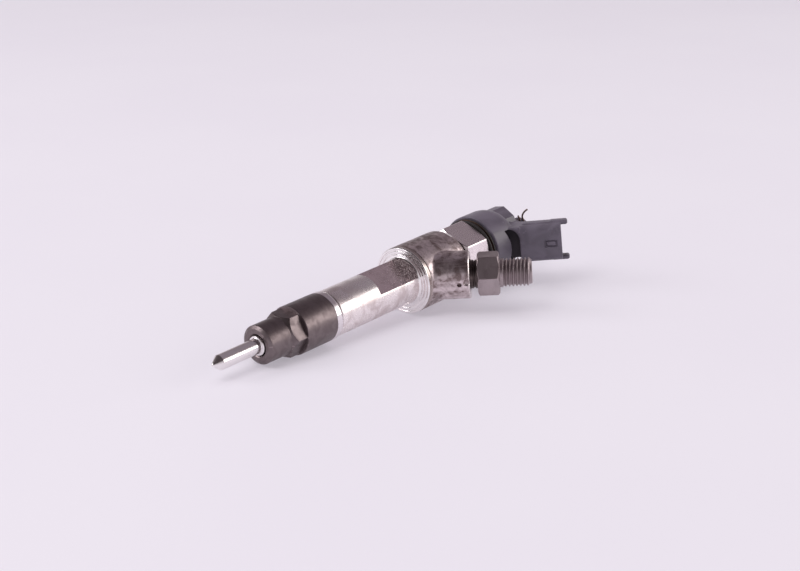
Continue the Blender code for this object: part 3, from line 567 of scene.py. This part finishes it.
def boss_fillet(radius=2.6, count=72, arc=8, reach=125.0):
    """Closed strip that rounds the corner between thick section and inlet boss, as a rolling ball would."""
    to_injector = INJECTOR.inverted() @ INLET
    origin = to_injector.translation / MM
    across, forward, along = (to_injector.to_3x3().col[i].normalized() for i in range(3))
    build = bmesh.new()
    sections = []
    for i in range(count + 1):
        angle = math.radians(-reach + 2.0 * reach * i / count)
        edge = min(1.0, (math.radians(reach) - abs(angle)) / math.radians(55.0))
        ball = radius * (0.12 + 0.88 * edge * edge * (3.0 - 2.0 * edge))
        out = across * math.sin(angle) + forward * math.cos(angle)
        start = origin + out * (BOSS_R + ball)
        a = along.xy.length_squared
        b = start.xy.dot(along.xy)
        c = start.xy.length_squared - (COLLAR_R + ball) ** 2
        centre = start + along * ((-b + math.sqrt(b * b - a * c)) / a)
        on_body = Vector((*(centre.xy * COLLAR_R / (COLLAR_R + ball)), centre.z)) - centre
        on_boss = -out * ball
        turn = on_body.angle(on_boss)
        points = []
        for k in range(arc + 1):
            share = k / arc
            first = math.sin((1.0 - share) * turn) / math.sin(turn)
            last = math.sin(share * turn) / math.sin(turn)
            points.append(centre + on_body * first + on_boss * last)
        inside_body = points[0] - Vector((*points[0].xy.normalized(), 0.0)) * 0.6
        inside_boss = points[-1] - out * 0.6
        middle = (inside_body + inside_boss) / 2.0
        points += [inside_boss, middle + (middle - centre).normalized() * 1.4, inside_body]
        sections.append([build.verts.new(point * MM) for point in points])
    skin(build, sections)
    return finish_build("fillet", build, INJECTOR)


def make_body():
    outline = [
        (0.0, BODY_REAR), (13.3, BODY_REAR, 0.5), (13.3, 156.2, 0.2), (15.2, BODY_SHOULDER, 0.2),
        (16.0, 155.5, 0.5), (COLLAR_R, 153.6, 0.5), (COLLAR_R, 127.5, 0.3), (16.28, COLLAR_REAR, 0.2),
        (16.28, 125.5, 0.15), (COLLAR_R, 125.2, 0.2), (COLLAR_R, 124.85, 0.2), (16.1, COLLAR_FRONT, 0.2),
        (15.3, COLLAR_FRONT + 0.05, 0.1), (15.05, 124.7, 0.1), (14.7, 124.7, 0.1),
        (14.45, COLLAR_FRONT + 0.05, 0.1), (13.5, COLLAR_FRONT + 0.1, 0.1), (13.3, 124.7, 0.1),
        (13.0, 124.7, 0.1), (12.8, COLLAR_FRONT + 0.1, 0.1), (11.8, COLLAR_FRONT, 0.4), (SHAFT_R, 123.7, 0.8),
        (SHAFT_R, 71.1, 0.2), (10.8, 70.8, 0.1), (8.6, 70.8, 0.2), (8.6, 53.6), (0.0, 53.6),
    ]
    body = lathe("injector_body", outline, INJECTOR, 224, closed=False)
    boss_outline = [(0.0, 4.0), (BOSS_R, 4.0), (BOSS_R, 27.9, 0.4), (11.0, BOSS_END, 0.3), (0.0, BOSS_END)]
    boss = lathe("boss", boss_outline, INLET, 160, closed=False)
    cut(body, boss, boss_fillet(), operation="UNION")
    bore = [
        (0.0, 165.0), (12.5, 165.0), (12.5, 162.2), (9.6, 162.2), (9.6, 157.8), (8.6, 157.8), (8.6, 141.3),
        (7.0, 141.3), (7.0, 134.5), (2.5, 134.5), (2.5, 88.1), (4.2, 88.1), (4.2, 52.6), (0.0, 52.6),
    ]
    inlet_bore = [(0.0, 30.0), (7.6, 30.0), (7.6, 28.0), (7.2, 27.6), (7.2, 19.0), (0.0, 19.0)]
    tools = [
        lathe("bore", bore, INJECTOR, 64, closed=False),
        lathe("inlet_bore", inlet_bore, INLET, 96, closed=False),
        rod("pin_hole", around(8.3, -7.6, 23.5), around(13.0, -7.6, 23.5), 1.1, INLET, 32),
    ]
    turn = INJECTOR @ Matrix.Rotation(math.radians(90.0 - FLATS_ANGLE), 4, "Z")
    flat_outline = [
        (FLATS_HALF, FLATS[0] + FLATS_FOOT), (FLATS_HALF + FLATS_FOOT, FLATS[0]), (13.0, FLATS[0]),
        (13.0, FLATS[1]), (FLATS_HALF, FLATS[1]),
    ]
    for side in (-1.0, 1.0):
        profile = [(side * x, y) for x, y in flat_outline]
        tools.append(prism(f"flat_{side:.0f}", profile, -14.0, 14.0, turn, axis=1))
    feed_floor = INJECTOR.inverted() @ INLET @ (Vector((0.0, 0.0, 19.5)) * MM) / MM
    tools.append(rod("inlet_feed", feed_floor, (0.0, 5.5, 139.8), 1.2, INJECTOR))
    feed = (around(5.8, FEED_ANGLE, 52.6), around(5.8, FEED_ANGLE, 135.0))
    tools.append(rod("long_feed", *feed, FEED_R, INJECTOR))
    tools += dowel_holes(53.0, 55.4)
    build = bmesh.new()
    scoop = Matrix.Translation(around(12.7, -2.5, 27.0) * MM)
    bmesh.ops.create_uvsphere(build, u_segments=32, v_segments=20, radius=2.1 * MM, matrix=scoop)
    tools.append(finish_build("scoop", build, INLET))
    cut(body, *tools)
    flat_normal = around(1.0, FLATS_ANGLE, 0.0)
    to_inlet = INLET.inverted() @ INJECTOR

    def choose(centre, normal):
        if FLATS[0] < centre.z < FLATS[1] + 0.1 and abs(normal.dot(flat_normal)) > 0.98:
            return 1
        radius = centre.xy.length
        if centre.z < 123.6:
            return 0
        if centre.z < 125.3 and radius < COLLAR_R + 0.02:
            return 2
        if centre.z < COLLAR_REAR + 0.2 and radius < COLLAR_R - 0.05:
            return 4
        on_inlet = to_inlet @ (centre * MM) / MM
        if on_inlet.z > BOSS_END - 0.55:
            return 0
        # Behind the shoulder the body is painted near black: painted shade in the gap under the solenoid nut.
        if centre.z > BODY_SHOULDER - 0.1:
            return 6
        # A sector on top of the rear rim, from 66 to 130 degrees around the axis, takes the painted highlight.
        around_axis = math.degrees(math.atan2(centre.x, centre.y))
        return 5 if centre.z > 153.4 and 66.0 < around_axis < 130.0 else 3

    painted(body, SHAFT, FLAT, COLLAR, FORGING, BAND, RIM_PAINTED_HIGHLIGHT, GROOVE_PAINTED_SHADE, choose=choose)
    return part(body, "nickel_steel", "injector_body")


def make_inlet_fitting():
    outline = [
        (5.75, 57.8, 0.3), (6.85, 56.7, 0.2), (6.85, 42.6, 0.2), (7.4, 42.3, 0.2), (9.7, 42.3, 0.2),
        (10.95, 41.5, 0.3), (10.95, 32.8, 0.3), (9.6, 32.0, 0.2), (6.9, 32.0, 0.3), (6.9, 30.9, 0.2),
        (6.45, 30.6, 0.2), (6.45, 30.1, 0.2), (6.9, 29.8, 0.2), (6.9, 20.8, 0.3), (2.2, 20.8), (2.2, 45.0),
        (1.5, 46.0), (1.5, 53.8), (4.4, 57.8, 0.3),
    ]
    mill = hexagon(HEX_AF, INLET_HEX_CORNER, 31.9, 42.45, 7.5)
    screw = thread(THREAD_PITCH, THREAD_DEPTH, 43.4, 57.9, 1.6, 5.0)

    def shape(radii, angles, stations):
        milled = mill(radii, angles, stations)
        return np.where(stations > 42.9, screw(radii, angles, stations), milled)

    fitting = lathe("inlet_fitting", outline, INLET, 240, shape, (31.8, 57.2), 0.1, start=INLET_HEX_CORNER)
    painted(fitting, INLET_DARK, NECK, choose=lambda centre, normal: int(centre.z < 31.95))
    return part(fitting, "inlet_steel", "inlet_fitting")


def make_solenoid_nut():
    outline = [
        (14.6, 174.0, 0.2), (16.5, 172.9, 0.3), (16.5, 158.4, 0.2), (15.0, 157.4, 0.2), (13.6, 157.4),
        (13.6, 168.0), (12.5, 168.0), (12.5, 174.0, 0.2),
    ]
    shape = hexagon(SOLENOID_HEX_AF, SOLENOID_HEX_CORNER, 156.0, 175.0, 13.9)
    zone, corner = (157.3, 174.1), SOLENOID_HEX_CORNER
    nut = lathe("solenoid_retaining_nut", outline, INJECTOR, 288, shape, zone, 0.25, start=corner)
    painted(nut, SOLENOID)
    return part(nut, "solenoid_nut_steel", "solenoid_retaining_nut")


def make_dust_ring():
    outline = [
        (12.5, 174.3, 0.1), (15.6, 174.3, 0.3), (16.0, 174.7, 0.2), (16.0, 175.3, 0.2), (15.3, 175.5, 0.1),
        (15.3, 176.3, 0.1), (16.2, 176.5, 0.2), (16.2, 177.4, 0.3), (12.5, 177.7, 0.1),
    ]
    ring = lathe("solenoid_dust_ring", outline, INJECTOR, 192)
    painted(ring, RING_DARK, RING_BROWN, choose=lambda centre, normal: int(175.4 < centre.z < 176.4))
    return part(ring, "dark_ring", "solenoid_dust_ring")


def rounded_rectangle(half_x, half_y, corner, steps=6):
    outline = []
    for x, y, first in ((1, 1, 0.0), (-1, 1, 90.0), (-1, -1, 180.0), (1, -1, 270.0)):
        for i in range(steps + 1):
            turn = math.radians(first + 90.0 * i / steps)
            outline.append(
                (x * (half_x - corner) + corner * math.cos(turn),
                 y * (half_y - corner) + corner * math.sin(turn))
            )
    return outline


def hump_outline(radius=7.1, offset=8.4, steps=20):
    """Outline of the head's hump: a blunt ridge above the axis and a round end below it."""
    outline = [(9.0, 7.1), (11.7, 5.9), (15.5, -0.4), (14.5, -5.6), (13.2, -6.6), (9.0, -7.1)]
    for i in range(steps + 1):
        point = around(radius, 180.0 + 180.0 * i / steps, 0.0)
        outline.append((point.x - offset, point.y))
    return outline


def make_connector():
    head_outline = [
        (0.0, 197.0), (12.4, 197.0, 1.5), (15.9, 195.4, 3.0), (HEAD_R, 191.4, 12.0), (HEAD_R, 178.0, 0.5),
        (0.0, 178.0),
    ]
    head = lathe("connector_housing", head_outline, INJECTOR, 128, closed=False)
    shroud = prism("shroud", rounded_rectangle(9.35, 7.0, 3.2), 18.4, 39.1, CONNECTOR, edge=0.35)
    parts = [
        prism("hump", hump_outline(), 188.0, 206.0, INJECTOR, edge=0.6),
        box("neck", (-7.5, -5.5, 4.0), (9.0, 2.6, 19.5), CONNECTOR, 0.8),
        box("web", (-6.9, -5.9, 8.0), (9.3, 6.9, 19.0), CONNECTOR, 0.8),
        shroud,
    ]
    for side in (-1.0, 1.0):
        name = "top" if side > 0 else "bottom"
        rail = ((side * 8.4, -2.3, 20.0), (side * 9.9, 2.3, 35.0))
        tab = ((side * 7.9, -2.5, 33.6), (side * 10.3, 2.5, 42.6))
        for label, (low, high), bevel in (("rail", rail, 0.45), ("tab", tab, 1.05)):
            parts.append(box(f"{name}_{label}", map(min, low, high), map(max, low, high), CONNECTOR, bevel))
    for number, at in enumerate((33.4, 35.2, 37.0)):
        parts.append(box(f"rib_{number}", (4.4, 5.4, at - 0.3), (7.4, 7.22, at + 0.3), CONNECTOR, 0.2))
    cut(head, *parts, operation="UNION")
    arch = [(-14.0, 9.6), (-14.0, 18.35), (2.6, 18.35)]
    for i in range(1, 9):
        turn = math.radians(90.0 * i / 8)
        arch.append((2.6 + 6.1 * math.sin(turn), 12.6 + 5.75 * math.cos(turn)))
    arch += [(8.7, 11.2), (7.6, 9.2)]
    tools = [
        prism("recess_near", arch, 2.6, 9.5, CONNECTOR, axis=1),
        prism("recess_far", arch, -9.5, -5.5, CONNECTOR, axis=1),
        prism("cavity", rounded_rectangle(7.65, 5.3, 1.8), 21.4, 44.0, CONNECTOR),
        box("pocket", (-1.9, 6.2, 30.6), (1.6, 7.6, 36.9), CONNECTOR, 0.3),
    ]
    bore = [
        (0.0, 207.0), (6.2, 207.0), (6.2, 195.5), (9.0, 195.5), (9.0, 181.3), (12.5, 181.3), (12.5, 177.0),
        (0.0, 177.0),
    ]
    tools.append(lathe("head_bore", bore, INJECTOR, 96, closed=False))
    for side in (-1.0, 1.0):
        low, high = (side * TERMINAL_OFFSET - 0.7, -1.7, 8.5), (side * TERMINAL_OFFSET + 0.7, 1.7, 22.5)
        tools.append(box(f"terminal_slot_{side:.0f}", low, high, CONNECTOR))
    cut(head, *tools)
    ramp = box("latch_ramp", (-1.1, 5.9, 31.6), (0.9, 6.95, 36.2), CONNECTOR, 0.35)
    cut(head, ramp, operation="UNION")
    remesh = head.modifiers.new("remesh", "REMESH")
    remesh.mode = "VOXEL"
    remesh.voxel_size = 0.22 * MM
    remesh.use_smooth_shade = True
    smooth = head.modifiers.new("smooth", "SMOOTH")
    smooth.factor = 0.5
    smooth.iterations = 4
    fewer = head.modifiers.new("fewer", "DECIMATE")
    fewer.ratio = 0.35
    apply_modifiers(head)
    head.data.shade_smooth()
    to_connector = CONNECTOR.inverted() @ INJECTOR

    # Faces inside the recess between the head and the shroud get the painted shade.
    def choose(centre, normal):
        at = to_connector @ (centre * MM) / MM
        return int(-9.0 < at.x < 8.9 and abs(at.y) < 6.6 and 8.6 < at.z < 18.5)

    painted(head, BLACK, RECESS_PAINTED_SHADE, choose=choose)
    return part(head, "black_plastic", "connector_housing")


def make_terminals():
    for number, side in enumerate((-1.0, 1.0), 1):
        middle = side * TERMINAL_OFFSET
        low, high = (middle - 0.4, -1.4, 11.2), (middle + 0.4, 1.4, 33.0)
        blade = box(f"terminal_{number}", low, high, CONNECTOR, 0.25, 4)
        painted(blade, TIN)
        part(blade, "tinned_terminal", f"terminal_{number}")


def make_return_port():
    outline = [
        (5.4, 219.5, 0.3), (PORT_R, 219.0, 0.3), (PORT_R, 218.1, 0.2), (4.6, 218.1, 0.3), (4.6, 215.1, 0.3),
        (PORT_R, 215.1, 0.2), (PORT_R, 202.0, 0.2), (4.7, 202.0, 0.2), (4.7, 200.4, 0.2),
        (PORT_R, 200.4, 0.2), (PORT_R, 195.2, 0.2), (7.6, 195.2, 0.3), (7.6, 193.0, 0.3),
        (2.0, 193.0, 0.2), (2.0, 219.5, 0.4),
    ]
    port = lathe("return_port", outline, INJECTOR, 128)
    painted(port, BLACK)
    return part(port, "black_plastic", "return_port")


def make_clip():
    """Wire bent round the port's groove; its long end stands up clear of the port."""
    loop_radius, first, pitch, steps = 5.35, 215.9, 1.2, 56
    low, high = first - 0.1, first + pitch + 0.1
    path = [(7.9, 0.9, low), (6.9, 1.4, low), (5.9, 2.2, low)]
    for i in range(steps + 1):
        turn = math.radians(20.0 - 336.0 * i / steps)
        path.append((loop_radius * math.cos(turn), loop_radius * math.sin(turn), first + pitch * i / steps))
    path += [(5.5, 3.4, high), (6.9, 2.4, high + 0.1), (8.2, 2.5, high + 0.3)]
    path += [(9.4, 3.1, high + 0.6), (10.4, 3.9, high + 0.9), (11.2, 5.0, high + 1.2)]
    curve = bpy.data.curves.new("return_clip", "CURVE")
    curve.dimensions = "3D"
    curve.bevel_depth = 0.45 * MM
    curve.bevel_resolution = 5
    curve.use_fill_caps = True
    spline = curve.splines.new("NURBS")
    spline.points.add(len(path) - 1)
    for point, at in zip(spline.points, path):
        point.co = (*(Vector(at) * MM), 1.0)
    spline.order_u = 3
    spline.use_endpoint_u = True
    spline.resolution_u = 4
    drawn = bpy.data.objects.new("clip_curve", curve)
    bpy.context.scene.collection.objects.link(drawn)
    bpy.context.view_layer.update()
    mesh = bpy.data.meshes.new_from_object(drawn.evaluated_get(bpy.context.evaluated_depsgraph_get()))
    bpy.data.objects.remove(drawn, do_unlink=True)
    clip = finish_mesh("return_clip", mesh, INJECTOR)
    painted(clip, WIRE)
    return part(clip, "bronzed_wire", "return_clip")


CARRIED = {
    "hardened_steel": HARD,
    "spring_steel": SPRING,
    "soft_iron": IRON,
    "copper": COPPER,
    "natural_plastic": NATURAL,
    "black_rubber": RUBBER,
    "phosphated_steel": DARK_NUT,
    "ground_steel": BRIGHT,
}


def finish_carried_nodes():
    """Gives each CAD node that stays the procedural material of its slot in the record."""
    for name, obj in frame["nodes"].items():
        if obj.hide_render:
            continue
        slot = next(row["material_slot"] for row in frame["record"]["subparts"] if row["node"] == name)
        painted(obj, CARRIED[slot])


# ---------------------------------------------------------------- camera, floor and light


# The camera's angles above and around the object, and the tip's place from it in metres: right, down, ahead.
CAMERA_ELEVATION, CAMERA_BEARING = 17.6, 40.5
TIP_FROM_CAMERA = (-0.0795, 0.03396, 0.675)


def make_camera():
    """Camera at the height and bearing of the reference view, aimed so that the tip sits low on the left."""
    elevation, bearing = math.radians(CAMERA_ELEVATION), math.radians(CAMERA_BEARING)
    level = Vector((math.cos(bearing), math.sin(bearing), 0.0))
    forward = level * math.cos(elevation) - Vector((0.0, 0.0, math.sin(elevation)))
    right = forward.cross(Vector((0.0, 0.0, 1.0))).normalized()
    down = forward.cross(right)
    tip = INJECTOR.translation
    data = bpy.data.cameras.new("camera")
    data.lens = 72.0
    data.sensor_width = 36.0
    data.clip_start = 0.01
    data.clip_end = 100.0
    camera = bpy.data.objects.new("camera", data)
    bpy.context.scene.collection.objects.link(camera)
    turn = Matrix((right, -down, -forward)).transposed().to_4x4()
    aside, below, ahead = TIP_FROM_CAMERA
    at = tip - (right * aside + down * below + forward * ahead)
    camera.matrix_world = Matrix.Translation(at) @ turn
    bpy.context.scene.camera = camera


def make_floor():
    build = bmesh.new()
    bmesh.ops.create_grid(build, x_segments=4, y_segments=4, size=6.0)
    mesh = bpy.data.meshes.new("floor")
    build.to_mesh(mesh)
    build.free()
    floor = bpy.data.objects.new("floor", mesh)
    bpy.context.scene.collection.objects.link(floor)
    graph = Graph("floor")
    cloud = graph.noise(180.0, detail=2.0)
    base = graph.mix(graph.between(cloud, 0.3, 0.7), (0.455, 0.440, 0.478), (0.465, 0.452, 0.486))
    graph.finish(base, 0.75, graph.noise(0.8), 0.0, 0.02, 0.02)
    graph.shader.inputs["Emission Color"].default_value = (0.93, 0.87, 0.97, 1.0)
    graph.shader.inputs["Emission Strength"].default_value = 0.36
    mesh.materials.append(graph.material)


def area_light(name, towards, distance, size, watts, colour, glossy=True):
    """Soft light in a direction from the object, facing it; one that isn't glossy gives no reflection."""
    data = bpy.data.lights.new(name, "AREA")
    data.shape = "RECTANGLE"
    data.size, data.size_y = size
    data.energy = watts
    data.color = colour
    light = bpy.data.objects.new(name, data)
    bpy.context.scene.collection.objects.link(light)
    at = Vector(towards).normalized() * distance
    aim = (-at).to_track_quat("-Z", "Y").to_matrix().to_4x4()
    light.matrix_world = Matrix.Translation(at) @ aim
    light.visible_glossy = glossy


# Colour of the surroundings by height, from level with the object to straight above, and high in front of it.
SKY_STOPS = (
    (0.0, (0.64, 0.60, 0.65)),
    (0.20, (0.66, 0.62, 0.65)),
    (0.38, (0.40, 0.35, 0.37)),
    (0.52, (0.29, 0.245, 0.27)),
    (0.64, (0.235, 0.195, 0.215)),
    (0.90, (0.25, 0.215, 0.25)),
)
DARK_FRONT = (0.07, 0.055, 0.06)


def make_light():
    """Surroundings pale near the horizon and dim above, darkest high in front, and four soft area lights."""
    world = bpy.data.worlds.new("studio")
    bpy.context.scene.world = world
    world.use_nodes = True
    nodes, links = world.node_tree.nodes, world.node_tree.links

    def smooth_step(value, low, high):
        made = nodes.new("ShaderNodeMapRange")
        made.interpolation_type = "SMOOTHSTEP"
        made.inputs["From Min"].default_value = low
        made.inputs["From Max"].default_value = high
        links.new(value, made.inputs["Value"])
        return made.outputs[0]

    place = nodes.new("ShaderNodeTexCoord").outputs["Generated"]
    split = nodes.new("ShaderNodeSeparateXYZ")
    links.new(place, split.inputs[0])
    ramp = nodes.new("ShaderNodeValToRGB")
    while len(ramp.color_ramp.elements) < len(SKY_STOPS):
        ramp.color_ramp.elements.new(0.5)
    for element, (position, colour) in zip(ramp.color_ramp.elements, SKY_STOPS):
        element.position = position
        element.color = (*colour, 1.0)
    links.new(split.outputs["Z"], ramp.inputs[0])
    both = nodes.new("ShaderNodeMath")
    both.operation = "MULTIPLY"
    links.new(smooth_step(split.outputs["Z"], 0.30, 0.45), both.inputs[0])
    links.new(smooth_step(split.outputs["X"], 0.3, -0.2), both.inputs[1])
    mix = nodes.new("ShaderNodeMix")
    mix.data_type = "RGBA"
    mix.inputs[7].default_value = (*DARK_FRONT, 1.0)
    links.new(both.outputs[0], mix.inputs[0])
    links.new(ramp.outputs[0], mix.inputs[6])
    links.new(mix.outputs[2], nodes["Background"].inputs["Color"])
    nodes["Background"].inputs["Strength"].default_value = 1.0
    area_light("overhead", (-0.15, 0.1, 1.0), 3.0, (4.0, 4.0), 58.0, (1.0, 0.98, 1.0), glossy=False)
    area_light("key", (-0.64, 0.0, 0.77), 4.0, (1.9, 1.9), 45.0, (1.0, 0.985, 0.97), glossy=False)
    area_light("left", (-0.62, 0.62, 0.47), 2.5, (1.3, 0.8), 20.0, (1.0, 0.98, 1.0))
    area_light("side", (0.76, -0.65, 0.385), 2.0, (1.6, 1.0), 13.0, (1.0, 0.965, 0.93))


make_camera()
make_nozzle()
make_nozzle_nut()
make_body()
make_inlet_fitting()
make_solenoid_nut()
make_dust_ring()
make_connector()
make_terminals()
make_return_port()
make_clip()
finish_carried_nodes()
make_floor()
make_light()
bpy.context.scene.view_settings.view_transform = "Standard"
